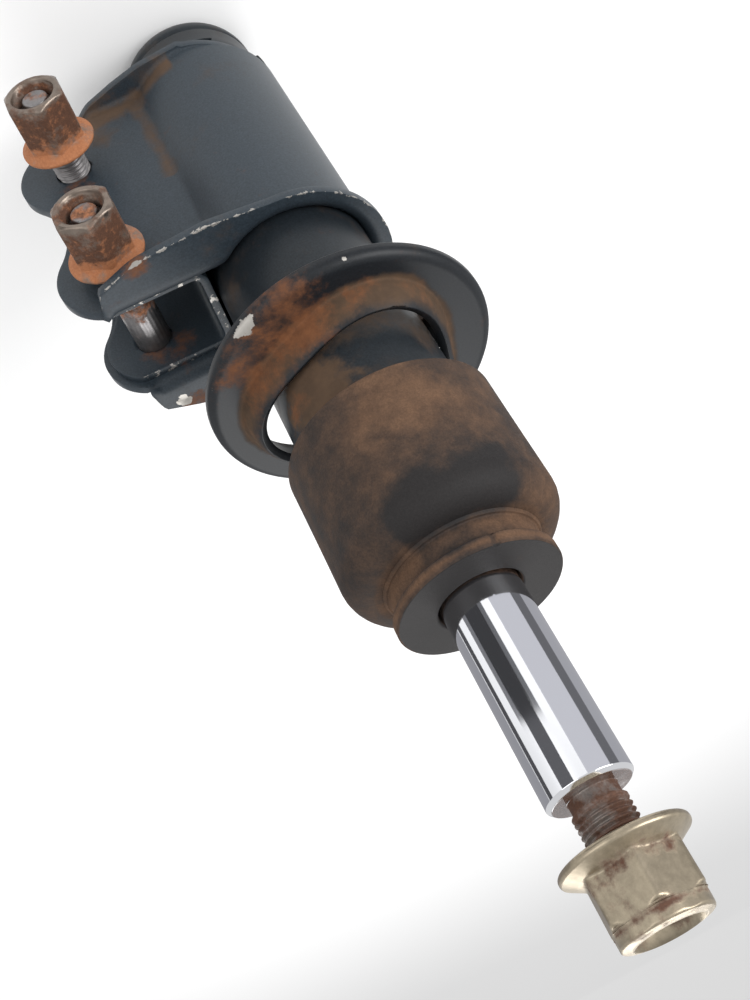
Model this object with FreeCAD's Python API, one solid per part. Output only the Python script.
"""Car front suspension strut: a twin-tube damper with a clamp bracket, spring seat and protective cap.

Frame: +Z along the strut towards the rod's stud, +X towards the bracket ears, the bolts along Y with
their heads on +Y. The origin is the centre of the closed tube's flat base. Millimetres.
"""
import FreeCAD, Part
import math
import os

from FreeCAD import Vector

os.makedirs("parts", exist_ok=True)

# ---- Driving dimensions -------------------------------------------------------------------------
# Outer tube
TUBE_R, TUBE_WALL = 25.0, 2.0
TUBE_TOP = 235.0
CUP_WALL, CUP_CORNER_R, CUP_TOP = 2.5, 8.0, 11.0

# Pressure tube and base valve
INNER_R, INNER_WALL = 16.0, 1.5
BASE_FLANGE_Z, INNER_BOTTOM, BASE_SPIGOT_TOP = 6.0, 10.0, 18.0
BASE_STEM_R, BASE_HEAD_R = 3.0, 10.0
BASE_HEAD_Z, BASE_HEAD_TOP = 23.0, 25.0
CHECK_PLATE_T = 0.8
CHECK_SPRING_T = 0.4

# Rod, stud and what the rod carries
ROD_R, ROD_SHOULDER_Z, ROD_CHAMFER = 11.0, 308.0, 1.0
STUD_R, STUD_TOP, STUD_NECK_R, STUD_NECK_H = 7.0, 337.0, 6.2, 2.5
SPIGOT_R, SPIGOT_BOTTOM = 5.0, 64.5
PISTON_NUT_Z, REBOUND_SHIM_Z, PISTON_Z = 66.0, 74.0, 75.5
PISTON_H, BAND_H, BAND_T = 12.0, 8.0, 0.9
SLEEVE_R, SLEEVE_H, WASHER_R, WASHER_T = 7.0, 4.0, 13.5, 2.0
STOP_Z, STOP_R, STOP_H, BUMPER_H = 102.0, 15.0, 6.0, 10.0

# Closure of the tube
GUIDE_Z, GUIDE_FLANGE_Z, SEAL_Z, GLAND_Z = 208.0, 215.0, 222.0, 229.0
GLAND_TOP, GLAND_THREAD_R = 238.0, 23.0
BUSH_R = 12.2

# Running clearances, radial
SLIDE_CLEARANCE, THREAD_CLEARANCE = 0.04, 0.06

# Protective cap
CAP_BOTTOM, CAP_R, CAP_INNER_R = 196.6, 31.0, 28.2
CAP_SHOULDER_R, CAP_NECK_R, CAP_NECK_INNER_R = 8.8, 21.0, 18.2
CAP_CEILING_Z, CAP_SHOULDER_TOP = 238.0, 242.0
CAP_DISC_Z, CAP_DISC_TOP, CAP_DISC_R, CAP_HOLE_R = 249.2, 252.7, 22.9, 11.7

# Spring seat ring: a flat rim and a raised collar with three lobes
SEAT_TOP, SEAT_SHEET, SEAT_R, SEAT_LIP_H = 169.3, 2.7, 44.2, 4.3
COLLAR_TOP = 177.8
COLLAR_FOOT_R, COLLAR_FOOT_LOBE = 32.0, 2.5
COLLAR_LIP_R, COLLAR_LIP_LOBE = 30.3, 2.7
COLLAR_BORE_R, COLLAR_BORE_LOBE = 27.77, 2.75

# Knuckle bracket
SHEET = 3.0
WRAP_R = TUBE_R + SHEET
EAR_OUT, EAR_IN = 19.5, 16.5
WRAP_CORNER = (math.sqrt(TUBE_R ** 2 - EAR_IN ** 2), EAR_IN)
CREASE_R = 4.0
BRACKET_BOTTOM, BRACKET_TOP = 23.0, 123.0
BOLT_X, UPPER_BOLT_Z, LOWER_BOLT_Z = 50.5, 104.2, 51.0
LOBE_R, WAIST_X, EAR_FOOT_X, LINER_FOOT_X = 18.8, 60.5, 38.0, 34.0
TOP_FLANGE_R, TOP_FLANGE_Y, TOP_FLANGE_X, TOP_FLANGE_END = 32.0, 34.0, 44.0, 58.5
LOW_FLANGE_R, LOW_FLANGE_Y, LOW_FLANGE_X, LOW_FLANGE_END = 30.0, 28.4, 16.0, 42.0
TOP_FLANGE_SHIFT, LOW_FLANGE_SHIFT, TOP_FLANGE_BULGE, LOW_FLANGE_BULGE = 0.0, 2.5, 0.72, 0.55
LINER_SHEET, LINER_X, LINER_LOBE_R = 2.5, 26.0, 16.5
LINER_BOTTOM, LINER_TOP = 30.0, 118.5
HOLE_R = 6.08

# Bolts and nuts
BOLT_R, BOLT_THREAD_R, BOLT_LENGTH, BOLT_PLAIN, BOLT_POINT = 6.0, 5.9, 68.5, 31.0, 3.0
HEAD_FLANGE_R, HEAD_FLANGE_T, HEAD_AF, HEAD_H = 13.0, 2.2, 18.0, 9.5
UPPER_HEAD_Y, LOWER_HEAD_Y = 26.0, 19.6
NUT_FLANGE_R, NUT_FLANGE_T, NUT_AF, NUT_H = 12.2, 3.2, 17.8, 20.0
NUT_BORE_R, NUT_RECESS_R, NUT_RECESS_H = 5.96, 6.9, 2.2
UPPER_NUT_Y, LOWER_NUT_Y = -24.6, -30.6
TOP_NUT_Z, TOP_NUT_FLANGE_R, TOP_NUT_FLANGE_T = 321.0, 16.0, 5.0
TOP_NUT_AF, TOP_NUT_HEX_TOP, TOP_NUT_COLLAR_R, TOP_NUT_TOP = 22.0, 337.0, 11.2, 340.6

Z_AXIS = Vector(0, 0, 1)
Y_AXIS = Vector(0, 1, 0)
CENTRE = Vector(0, 0, 0)


# ---- Helpers ------------------------------------------------------------------------------------
def outline(points):
    """Closed wire through 2-D points in the XZ plane; ("arc", middle, end) bends the next stretch."""
    at = lambda point: Vector(point[0], 0, point[1])
    edges, here = [], points[0]
    for step in list(points[1:]) + [points[0]]:
        if step[0] == "arc":
            edges.append(Part.Arc(at(here), at(step[1]), at(step[2])).toShape())
            here = step[2]
        elif math.dist(here, step) > 1e-6:
            edges.append(Part.LineSegment(at(here), at(step)).toShape())
            here = step
    return Part.Wire(edges)


def lathe(points):
    """Solid turned about Z from a closed (radius, height) outline."""
    return Part.Face(outline(points)).revolve(CENTRE, Z_AXIS, 360)


def ring(inner, outer, low, high):
    """Plain ring or disc about Z."""
    solid = Part.makeCylinder(outer, high - low, Vector(0, 0, low))
    if inner > 0:
        solid = solid.cut(Part.makeCylinder(inner, high - low + 2, Vector(0, 0, low - 1)))
    return solid


def hole_circle(count, circle_r, hole_r, low, high, start_deg=0.0):
    """Drills for a ring of holes about Z."""
    drills = []
    for index in range(count):
        angle = math.radians(start_deg + 360.0 * index / count)
        place = Vector(circle_r * math.cos(angle), circle_r * math.sin(angle), low - 1)
        drills.append(Part.makeCylinder(hole_r, high - low + 2, place))
    return drills[0].multiFuse(drills[1:]) if count > 1 else drills[0]


def hexagon(across_flats, low, high):
    """Hexagonal prism about Z with its outer corners turned down a little."""
    corner_r = across_flats / math.sqrt(3)
    turns = [math.radians(60 * k) for k in range(7)]
    corners = [Vector(corner_r * math.cos(turn), corner_r * math.sin(turn), low) for turn in turns]
    prism = Part.Face(Part.makePolygon(corners)).extrude(Vector(0, 0, high - low))
    drop = (corner_r - across_flats / 2) * 0.9
    return prism.common(lathe([(0, low), (corner_r + 0.1, low), (corner_r + 0.1, high - drop),
                               (across_flats / 2 - 0.2, high), (0, high)]))


def along_y(solid, x, y, z, outward):
    """Carry a piece built about +Z to a place where its +Z points along +Y or -Y."""
    placed = solid.copy()
    placed.rotate(CENTRE, Vector(1, 0, 0), -90 if outward > 0 else 90)
    placed.translate(Vector(x, y, z))
    return placed


def dished_spring(inner, outer, low, high):
    """Coned spring washer that stands on its outer edge at low and reaches high at its bore."""
    return lathe([(inner, high - CHECK_SPRING_T), (outer, low), (outer, low + CHECK_SPRING_T), (inner, high)])


def wedge_arc(radius, leg, low, start_deg, sweep_deg):
    """Fillet weld in the corner between a cylinder and a plate above it, over part of a turn."""
    corner = Part.Face(outline([(radius, low), (radius + leg, low), (radius, low - leg)]))
    corner.rotate(CENTRE, Z_AXIS, start_deg)
    return corner.revolve(CENTRE, Z_AXIS, sweep_deg)


def write(name, shape):
    """Store one sub-part and say what it is made of."""
    shape = shape.removeSplitter() if len(shape.Solids) == 1 else shape
    shape.exportStep("parts/%s.step" % name)
    print("%-22s %d solids %10.1f mm3 valid %s" % (name, len(shape.Solids), shape.Volume, shape.isValid()))


# ---- Outer tube ---------------------------------------------------------------------------------
def make_tube():
    """Reservoir tube with the pressed cup that closes its lower end."""
    tube = ring(TUBE_R - TUBE_WALL, TUBE_R, CUP_TOP, TUBE_TOP)
    outer, inner, wall = CUP_CORNER_R, CUP_CORNER_R - CUP_WALL, CUP_WALL
    turn = 1 - math.sqrt(0.5)
    bore_r = TUBE_R - wall
    cup = lathe([
        (0, 0), (TUBE_R - outer, 0),
        ("arc", (TUBE_R - outer * turn, outer * turn), (TUBE_R, outer)), (TUBE_R, CUP_TOP),
        (bore_r, CUP_TOP), (bore_r, wall + inner),
        ("arc", (bore_r - inner * turn, wall + inner * turn), (bore_r - inner, wall)), (0, wall)])
    write("strut_tube", tube)
    write("tube_end_cup", cup)


# ---- Base valve and pressure tube ---------------------------------------------------------------
def make_base_valve():
    """Foot valve that stands in the cup and plugs the lower end of the pressure tube."""
    write("pressure_tube", ring(INNER_R, INNER_R + INNER_WALL, INNER_BOTTOM, GUIDE_FLANGE_Z))

    foot_r, foot_hole_r = 16.5, 12.0
    body = ring(0, INNER_R + INNER_WALL, BASE_FLANGE_Z, INNER_BOTTOM)
    body = body.fuse(ring(0, INNER_R, INNER_BOTTOM, BASE_SPIGOT_TOP))
    feet = ring(foot_hole_r, foot_r, CUP_WALL, BASE_FLANGE_Z)
    for index in range(3):
        slot = Part.makeBox(2 * foot_r, 9, BASE_FLANGE_Z - CUP_WALL, Vector(0, -4.5, CUP_WALL))
        slot.rotate(CENTRE, Z_AXIS, 120 * index)
        feet = feet.cut(slot)
    body = body.fuse(feet)
    body = body.cut(ring(0, BASE_STEM_R, BASE_FLANGE_Z - 1, BASE_SPIGOT_TOP + 1))
    body = body.cut(hole_circle(6, 10.6, 1.6, CUP_WALL, BASE_SPIGOT_TOP))
    body = body.cut(hole_circle(4, 6.0, 1.2, BASE_FLANGE_Z, BASE_SPIGOT_TOP, 45))
    write("base_valve_body", body)

    shim_t, shim_r = 1.2, 8.6
    write("base_shims", ring(BASE_STEM_R, shim_r, BASE_FLANGE_Z - shim_t, BASE_FLANGE_Z))
    rivet_z = BASE_FLANGE_Z - shim_t
    stem = ring(0, BASE_STEM_R, rivet_z, BASE_HEAD_Z)
    stem = stem.fuse(ring(0, 5.0, rivet_z - 1.6, rivet_z)).fuse(ring(0, BASE_HEAD_R, BASE_HEAD_Z, BASE_HEAD_TOP))
    write("base_valve_stem", stem)

    plate = ring(BASE_STEM_R + 0.06, 13.6, BASE_SPIGOT_TOP, BASE_SPIGOT_TOP + CHECK_PLATE_T)
    plate = plate.cut(hole_circle(4, 6.0, 1.3, BASE_SPIGOT_TOP, BASE_SPIGOT_TOP + CHECK_PLATE_T, 45))
    write("base_check_plate", plate)
    write("base_check_spring", dished_spring(BASE_STEM_R + 0.3, 12.0, BASE_SPIGOT_TOP + CHECK_PLATE_T, BASE_HEAD_Z))


# ---- Rod and piston -----------------------------------------------------------------------------
def make_rod():
    """Chromed rod: spigot for the piston, groove for the rebound stop, plain length, threaded stud."""
    shoulder_z = PISTON_Z + PISTON_H + SLEEVE_H + WASHER_T
    rod = lathe([
        (0, SPIGOT_BOTTOM), (SPIGOT_R - 1, SPIGOT_BOTTOM), (SPIGOT_R, SPIGOT_BOTTOM + 1), (SPIGOT_R, shoulder_z),
        (ROD_R, shoulder_z), (ROD_R, ROD_SHOULDER_Z - ROD_CHAMFER), (ROD_R - ROD_CHAMFER, ROD_SHOULDER_Z),
        (STUD_NECK_R, ROD_SHOULDER_Z), (STUD_NECK_R, ROD_SHOULDER_Z + STUD_NECK_H),
        (STUD_R, ROD_SHOULDER_Z + STUD_NECK_H + 1), (STUD_R, STUD_TOP - 1), (STUD_R - 1, STUD_TOP), (0, STUD_TOP)])
    write("piston_rod", rod)

    write("backing_washer", ring(SPIGOT_R, WASHER_R, shoulder_z - WASHER_T, shoulder_z))
    sleeve_z = PISTON_Z + PISTON_H
    write("spring_sleeve", ring(SPIGOT_R, SLEEVE_R, sleeve_z, sleeve_z + SLEEVE_H))
    plate = ring(SLEEVE_R + 0.06, 14.0, sleeve_z, sleeve_z + CHECK_PLATE_T)
    write("piston_check_plate", plate)
    write("piston_check_spring", dished_spring(SLEEVE_R + 0.3, 13.0, sleeve_z + CHECK_PLATE_T, sleeve_z + SLEEVE_H))

    write("rebound_stop", ring(ROD_R, STOP_R, STOP_Z, STOP_Z + STOP_H))
    bumper_top = STOP_Z + STOP_H + BUMPER_H
    bulge = 0.8
    write("rebound_bumper", lathe([
        (ROD_R, STOP_Z + STOP_H), (STOP_R - bulge, STOP_Z + STOP_H),
        ("arc", (STOP_R, STOP_Z + STOP_H + BUMPER_H / 2), (STOP_R - bulge, bumper_top)), (ROD_R, bumper_top)]))


def make_piston():
    """Piston with its seal band, valve shims and the nut that clamps them on the spigot."""
    body_r = INNER_R - 0.15
    band_low = PISTON_Z + (PISTON_H - BAND_H) / 2
    band_outer = INNER_R - SLIDE_CLEARANCE
    groove_r = band_outer - BAND_T - 0.05
    axial_play = 0.05
    piston = ring(SPIGOT_R, body_r, PISTON_Z, PISTON_Z + PISTON_H)
    piston = piston.cut(ring(groove_r, body_r + 1, band_low, band_low + BAND_H))
    piston = piston.cut(hole_circle(5, 11.6, 1.7, PISTON_Z, PISTON_Z + PISTON_H))
    piston = piston.cut(hole_circle(5, 8.4, 1.3, PISTON_Z, PISTON_Z + PISTON_H, 36))
    write("piston", piston)
    write("piston_band", ring(groove_r + 0.05, band_outer, band_low + axial_play, band_low + BAND_H - axial_play))
    write("rebound_shims", ring(SPIGOT_R, 9.9, REBOUND_SHIM_Z, PISTON_Z))
    nut = hexagon(17.0, PISTON_NUT_Z, REBOUND_SHIM_Z).cut(ring(0, SPIGOT_R, PISTON_NUT_Z - 1, REBOUND_SHIM_Z + 1))
    write("piston_nut", nut)


# ---- Closure ------------------------------------------------------------------------------------
def make_closure():
    """Rod guide with its bush, O-ring, lip seal with its garter spring, and the ring that holds them."""
    bore_r = TUBE_R - TUBE_WALL
    groove_z, groove_h, groove_d = (GUIDE_FLANGE_Z + SEAL_Z) / 2, 2.4, 1.8
    guide = ring(BUSH_R, INNER_R, GUIDE_Z, GUIDE_FLANGE_Z).fuse(ring(BUSH_R, bore_r, GUIDE_FLANGE_Z, SEAL_Z))
    guide = guide.cut(ring(bore_r - groove_d, bore_r + 1, groove_z - groove_h / 2, groove_z + groove_h / 2))
    guide = guide.cut(hole_circle(3, 19.6, 1.2, GUIDE_FLANGE_Z, SEAL_Z, 30))
    write("rod_guide", guide)
    write("guide_bush", ring(ROD_R + SLIDE_CLEARANCE, BUSH_R, GUIDE_Z + 0.5, SEAL_Z - 0.5))
    cord_r = groove_d / 2
    write("guide_o_ring", Part.makeTorus(bore_r - cord_r, cord_r, Vector(0, 0, groove_z), Z_AXIS))

    garter_r, garter_wire, garter_z = 13.6, 0.8, SEAL_Z + 4.6
    seal = lathe([
        (ROD_R + SLIDE_CLEARANCE, SEAL_Z + 3.6), (ROD_R + 1.2, SEAL_Z), (bore_r, SEAL_Z), (bore_r, GLAND_Z),
        (17.0, GLAND_Z), (16.2, SEAL_Z + 2.4), (14.8, SEAL_Z + 2.4), (14.6, SEAL_Z + 6.2),
        (ROD_R + 1.0, SEAL_Z + 6.2)])
    garter = Part.makeTorus(garter_r, garter_wire, Vector(0, 0, garter_z), Z_AXIS)
    write("oil_seal", seal.cut(garter))
    write("seal_garter_spring", garter)

    gland = lathe([(12.6, GLAND_Z), (GLAND_THREAD_R, GLAND_Z), (GLAND_THREAD_R, TUBE_TOP), (TUBE_R, TUBE_TOP),
                   (TUBE_R, GLAND_TOP - 0.6), (TUBE_R - 0.6, GLAND_TOP), (12.6, GLAND_TOP)])
    write("gland_nut", gland.cut(hole_circle(4, 18.5, 2.0, GLAND_Z + 4, GLAND_TOP)))


def make_cap():
    """Moulded cap over the closure: cylinder, rounded shoulder, neck with a bead, and a disc round the rod."""
    turn = CAP_SHOULDER_R * math.sqrt(0.5)
    shoulder_z = CAP_SHOULDER_TOP - CAP_SHOULDER_R
    shoulder_r = CAP_R - CAP_SHOULDER_R
    bead_r, bead_h, edge, seat_depth = CAP_NECK_R + 0.7, 0.8, 0.5, 7.0
    cap = lathe([
        (CAP_INNER_R, CAP_BOTTOM), (CAP_R - edge, CAP_BOTTOM), (CAP_R, CAP_BOTTOM + edge), (CAP_R, shoulder_z),
        ("arc", (shoulder_r + turn, shoulder_z + turn), (shoulder_r, CAP_SHOULDER_TOP)),
        (bead_r, CAP_SHOULDER_TOP + bead_h), (CAP_NECK_R, CAP_SHOULDER_TOP + bead_h), (CAP_NECK_R, CAP_DISC_Z),
        (CAP_DISC_R - edge, CAP_DISC_Z), (CAP_DISC_R, CAP_DISC_Z + edge), (CAP_DISC_R, CAP_DISC_TOP - edge),
        (CAP_DISC_R - edge, CAP_DISC_TOP), (CAP_HOLE_R, CAP_DISC_TOP), (CAP_HOLE_R, CAP_DISC_Z),
        (CAP_NECK_INNER_R, CAP_DISC_Z), (CAP_NECK_INNER_R, CAP_CEILING_Z), (TUBE_R, CAP_CEILING_Z),
        (TUBE_R, CAP_CEILING_Z - seat_depth), (CAP_INNER_R, CAP_CEILING_Z - seat_depth - 3)])
    write("protective_cap", cap)


# ---- Spring seat --------------------------------------------------------------------------------
def lobed_wire(radius, lobe, height, count=24):
    """Closed curve about Z whose radius swells by lobe three times a turn, first towards +X."""
    points = []
    for index in range(count):
        angle = 2 * math.pi * index / count
        swollen = radius + lobe * math.cos(3 * angle)
        points.append(Vector(swollen * math.cos(angle), swollen * math.sin(angle), height))
    curve = Part.BSplineCurve()
    curve.interpolate(points, PeriodicFlag=True)
    return Part.Wire(curve.toShape())


def make_spring_seat():
    """Pressed ring: rounded rim turned down at the edge, flat track, lobed collar that grips the tube."""
    low = SEAT_TOP - SEAT_SHEET
    lip_low = SEAT_TOP - SEAT_LIP_H
    bend = 2.0
    turn = bend * (1 - math.sqrt(0.5))
    inner_r = SEAT_R - SEAT_SHEET
    plate = lathe([
        (0, low), (inner_r, low), (inner_r, lip_low), (SEAT_R, lip_low), (SEAT_R, SEAT_TOP - bend),
        ("arc", (SEAT_R - turn, SEAT_TOP - turn), (SEAT_R - bend, SEAT_TOP)), (0, SEAT_TOP)])
    collar = Part.makeLoft([lobed_wire(COLLAR_FOOT_R, COLLAR_FOOT_LOBE, SEAT_TOP - 0.5),
                            lobed_wire(COLLAR_LIP_R, COLLAR_LIP_LOBE, COLLAR_TOP)], True, True)
    bore = Part.Face(lobed_wire(COLLAR_BORE_R, COLLAR_BORE_LOBE, low - 1))
    bore = bore.extrude(Vector(0, 0, COLLAR_TOP - low + 2))
    write("spring_seat_ring", plate.fuse(collar).cut(bore))

    beads = [wedge_arc(TUBE_R, 3.2, low, start, 34) for start in (43, 163, 283)]
    write("seat_weld_beads", Part.makeCompound(beads))


# ---- Knuckle bracket ----------------------------------------------------------------------------
def tangent_from(point, centre, radius):
    """Where a line from point touches a circle, at the later of the two touch points."""
    dx, dz = point[0] - centre[0], point[1] - centre[1]
    swing = math.acos(radius / math.hypot(dx, dz))
    angle = math.atan2(dz, dx) + swing
    return centre[0] + radius * math.cos(angle), centre[1] + radius * math.sin(angle)


def lobed_plate(low, high, start_x, foot_x, radius, waist_x):
    """Ear profile in XZ, cut through in Y: two lobes about the bolts with a waist between them."""
    lower = (BOLT_X, LOWER_BOLT_Z)
    middle_z, half = (UPPER_BOLT_Z + LOWER_BOLT_Z) / 2, (UPPER_BOLT_Z - LOWER_BOLT_Z) / 2
    depth = waist_x - BOLT_X
    waist_r = (radius ** 2 - half ** 2 - depth ** 2) / (2 * (depth - radius))
    waist_centre = (waist_x + waist_r, middle_z)
    reach = radius / (radius + waist_r)
    leave_x, leave_dz = BOLT_X + (waist_centre[0] - BOLT_X) * reach, half * reach
    foot = (foot_x, low)
    touch = tangent_from(foot, lower, radius)
    top_z = min(high, UPPER_BOLT_Z + radius)
    out, rise = radius * math.cos(0.6), radius * math.sin(0.6)
    profile = outline([
        (start_x, low), foot, touch,
        ("arc", (BOLT_X + out, LOWER_BOLT_Z - rise), (leave_x, LOWER_BOLT_Z + leave_dz)),
        ("arc", (waist_x, middle_z), (leave_x, UPPER_BOLT_Z - leave_dz)),
        ("arc", (BOLT_X + out, UPPER_BOLT_Z + rise), (BOLT_X, UPPER_BOLT_Z + radius)),
        (start_x, top_z)])
    plate = Part.Face(profile).extrude(Vector(0, 2 * TOP_FLANGE_Y, 0))
    plate.translate(Vector(0, -TOP_FLANGE_Y, 0))
    return plate


def wrap_section(end_x):
    """Plan section of the wrap: most of a turn round the tube, then two straight ears towards +X."""
    crease = (math.sqrt((WRAP_R + CREASE_R) ** 2 - (EAR_OUT + CREASE_R) ** 2), EAR_OUT + CREASE_R)
    scale = WRAP_R / (WRAP_R + CREASE_R)
    meet = (crease[0] * scale, crease[1] * scale)
    halfway = (math.atan2(meet[1] - crease[1], meet[0] - crease[0]) - math.pi / 2) / 2
    middle = (crease[0] + CREASE_R * math.cos(halfway), crease[1] + CREASE_R * math.sin(halfway))
    return outline([
        (end_x, EAR_OUT), (crease[0], EAR_OUT), ("arc", middle, meet), ("arc", (-WRAP_R, 0), mirrored(meet)),
        ("arc", mirrored(middle), mirrored((crease[0], EAR_OUT))), (end_x, -EAR_OUT), (end_x, -EAR_IN),
        mirrored(WRAP_CORNER), ("arc", (-TUBE_R, 0), WRAP_CORNER), (end_x, EAR_IN)])


def mirrored(point):
    """The same plan point on the other side of the ears."""
    return point[0], -point[1]


def level_face(wire, height):
    """Lay an outline flat at a height, with its second coordinate along Y."""
    face = Part.Face(wire)
    face.rotate(CENTRE, Vector(1, 0, 0), -90)
    face.translate(Vector(0, 0, height))
    return face


def flange_plan(back_r, wide_y, wide_x, end_x, shift, share):
    """Plan outline of an out-turned flange: round the back, widest beside the ears, then run out.

    shift moves the round back towards the ears, share says how far the run-out bulges.
    """
    bulge = (wide_x + share * (end_x - wide_x), EAR_OUT + share * (wide_y - EAR_OUT))
    shoulder = (wide_x * 0.45, wide_y)
    return outline([
        (shift, back_r), shoulder, (wide_x, wide_y), ("arc", bulge, (end_x, EAR_OUT)), (end_x, -EAR_OUT),
        ("arc", mirrored(bulge), (wide_x, -wide_y)), mirrored(shoulder), (shift, -back_r),
        ("arc", (shift - back_r, 0), (shift, back_r))])


def bolt_drills(radius):
    """Both bolt holes, through everything along Y."""
    drills = [Part.makeCylinder(radius, 4 * EAR_OUT, Vector(BOLT_X, -2 * EAR_OUT, z), Y_AXIS)
              for z in (UPPER_BOLT_Z, LOWER_BOLT_Z)]
    return drills[0].fuse(drills[1])


def make_bracket():
    """Wrap with ears and two out-turned flanges."""
    ear_end = BOLT_X + LOBE_R + 1
    wrap = level_face(wrap_section(ear_end), BRACKET_BOTTOM)
    wrap = wrap.extrude(Vector(0, 0, BRACKET_TOP - BRACKET_BOTTOM))
    wrap = wrap.common(lobed_plate(BRACKET_BOTTOM, BRACKET_TOP, -WRAP_R - 1, EAR_FOOT_X, LOBE_R, WAIST_X))
    inside = level_face(outline([(ear_end, EAR_IN), WRAP_CORNER, ("arc", (-TUBE_R, 0), mirrored(WRAP_CORNER)),
                                 (ear_end, -EAR_IN)]), 0).extrude(Vector(0, 0, BRACKET_TOP + 1))
    top = flange_plan(TOP_FLANGE_R, TOP_FLANGE_Y, TOP_FLANGE_X, TOP_FLANGE_END, TOP_FLANGE_SHIFT,
                      TOP_FLANGE_BULGE)
    base = flange_plan(LOW_FLANGE_R, LOW_FLANGE_Y, LOW_FLANGE_X, LOW_FLANGE_END, LOW_FLANGE_SHIFT,
                       LOW_FLANGE_BULGE)
    for plan, low in ((top, BRACKET_TOP - SHEET), (base, BRACKET_BOTTOM)):
        wrap = wrap.fuse(level_face(plan, low).extrude(Vector(0, 0, SHEET)).cut(inside))
    write("knuckle_bracket", wrap.cut(bolt_drills(HOLE_R)))


def make_liner():
    """Channel between the ears: a web near the tube, a lip to the tube at each end, two lobed wings."""
    wing_y, end_x = EAR_IN - LINER_SHEET, BOLT_X + LINER_LOBE_R + 1
    size = Vector(0, 0, LINER_TOP - LINER_BOTTOM)
    channel = level_face(outline([
        (LINER_X, EAR_IN), (LINER_X, -EAR_IN), (end_x, -EAR_IN), (end_x, -wing_y),
        (LINER_X + LINER_SHEET, -wing_y), (LINER_X + LINER_SHEET, wing_y), (end_x, wing_y), (end_x, EAR_IN)]),
        LINER_BOTTOM).extrude(size)
    channel = channel.common(lobed_plate(LINER_BOTTOM, LINER_TOP, LINER_X - 1, LINER_FOOT_X, LINER_LOBE_R,
                                         WAIST_X - 2.5))
    lips = [Part.makeBox(LINER_X - 15, 2 * EAR_IN, LINER_SHEET, Vector(15, -EAR_IN, low))
            for low in (LINER_BOTTOM, LINER_TOP - LINER_SHEET)]
    tube_space = ring(0, TUBE_R, 0, BRACKET_TOP)
    for lip in lips:
        channel = channel.fuse(lip.cut(tube_space))
    write("bracket_liner", channel.cut(bolt_drills(HOLE_R)))


def make_bracket_welds():
    """Fillet welds under the wrap's lower edge, in three runs round the back of the tube."""
    leg = 2.8
    beads = [wedge_arc(TUBE_R, leg, BRACKET_BOTTOM, start, 50) for start in (65, 155, 245)]
    write("bracket_weld_beads", Part.makeCompound(beads))


# ---- Fasteners ----------------------------------------------------------------------------------
def make_bolt(name, head_y, z):
    """Flange bolt with its head on +Y: plain shank by the head, thread and a turned point at the far end."""
    tip = BOLT_LENGTH
    shank = lathe([(0, 0), (BOLT_R, 0), (BOLT_R, BOLT_PLAIN), (BOLT_THREAD_R, BOLT_PLAIN + 0.2),
                   (BOLT_THREAD_R, tip - BOLT_POINT), (BOLT_THREAD_R - 1.6, tip - BOLT_POINT + 1.2),
                   (BOLT_THREAD_R - 1.8, tip), (0, tip)])
    flange = lathe([(0, 0), (HEAD_FLANGE_R, 0), (HEAD_FLANGE_R, 1.0), (HEAD_AF / 2, HEAD_FLANGE_T),
                    (0, HEAD_FLANGE_T)])
    head = flange.fuse(hexagon(HEAD_AF, HEAD_FLANGE_T / 2, HEAD_H))
    bolt = along_y(shank, BOLT_X, head_y, z, -1).fuse(along_y(head, BOLT_X, head_y, z, 1))
    write(name, bolt)


def make_nut(name, seat_y, z):
    """Tall flange nut that opens towards -Y with a shallow recess round the bolt's end."""
    nut = lathe([(0, 0), (NUT_FLANGE_R, 0), (NUT_FLANGE_R, 1.2), (NUT_AF / 2, NUT_FLANGE_T), (0, NUT_FLANGE_T)])
    nut = nut.fuse(hexagon(NUT_AF, NUT_FLANGE_T / 2, NUT_H))
    nut = nut.cut(ring(0, NUT_BORE_R, -1, NUT_H + 1)).cut(ring(0, NUT_RECESS_R, NUT_H - NUT_RECESS_H, NUT_H + 1))
    write(name, along_y(nut, BOLT_X, seat_y, z, -1))


def make_top_nut():
    """Flange nut on the stud: rounded flange, hexagon, and a round collar at the end."""
    low, flange_top = TOP_NUT_Z, TOP_NUT_Z + TOP_NUT_FLANGE_T
    flange = lathe([(0, low), (TOP_NUT_FLANGE_R - 1.5, low),
                    ("arc", (TOP_NUT_FLANGE_R, low + 1.8), (TOP_NUT_FLANGE_R - 1.2, low + 3.4)),
                    (TOP_NUT_AF / 2, flange_top), (0, flange_top)])
    nut = flange.fuse(hexagon(TOP_NUT_AF, low + TOP_NUT_FLANGE_T / 2, TOP_NUT_HEX_TOP))
    nut = nut.fuse(lathe([(0, TOP_NUT_HEX_TOP - 1), (TOP_NUT_COLLAR_R, TOP_NUT_HEX_TOP - 1),
                          (TOP_NUT_COLLAR_R, TOP_NUT_TOP - 1), (TOP_NUT_COLLAR_R - 1, TOP_NUT_TOP),
                          (0, TOP_NUT_TOP)]))
    bore_r = STUD_R + THREAD_CLEARANCE
    nut = nut.cut(ring(0, bore_r, low - 1, TOP_NUT_TOP + 1))
    nut = nut.cut(ring(0, bore_r + 1, STUD_TOP + 0.6, TOP_NUT_TOP + 1))
    write("top_nut", nut)


make_tube()
make_base_valve()
make_rod()
make_piston()
make_closure()
make_cap()
make_spring_seat()
make_bracket()
make_liner()
make_bracket_welds()
make_bolt("upper_bolt", UPPER_HEAD_Y, UPPER_BOLT_Z)
make_bolt("lower_bolt", LOWER_HEAD_Y, LOWER_BOLT_Z)
make_nut("upper_nut", UPPER_NUT_Y, UPPER_BOLT_Z)
make_nut("lower_nut", LOWER_NUT_Y, LOWER_BOLT_Z)
make_top_nut()
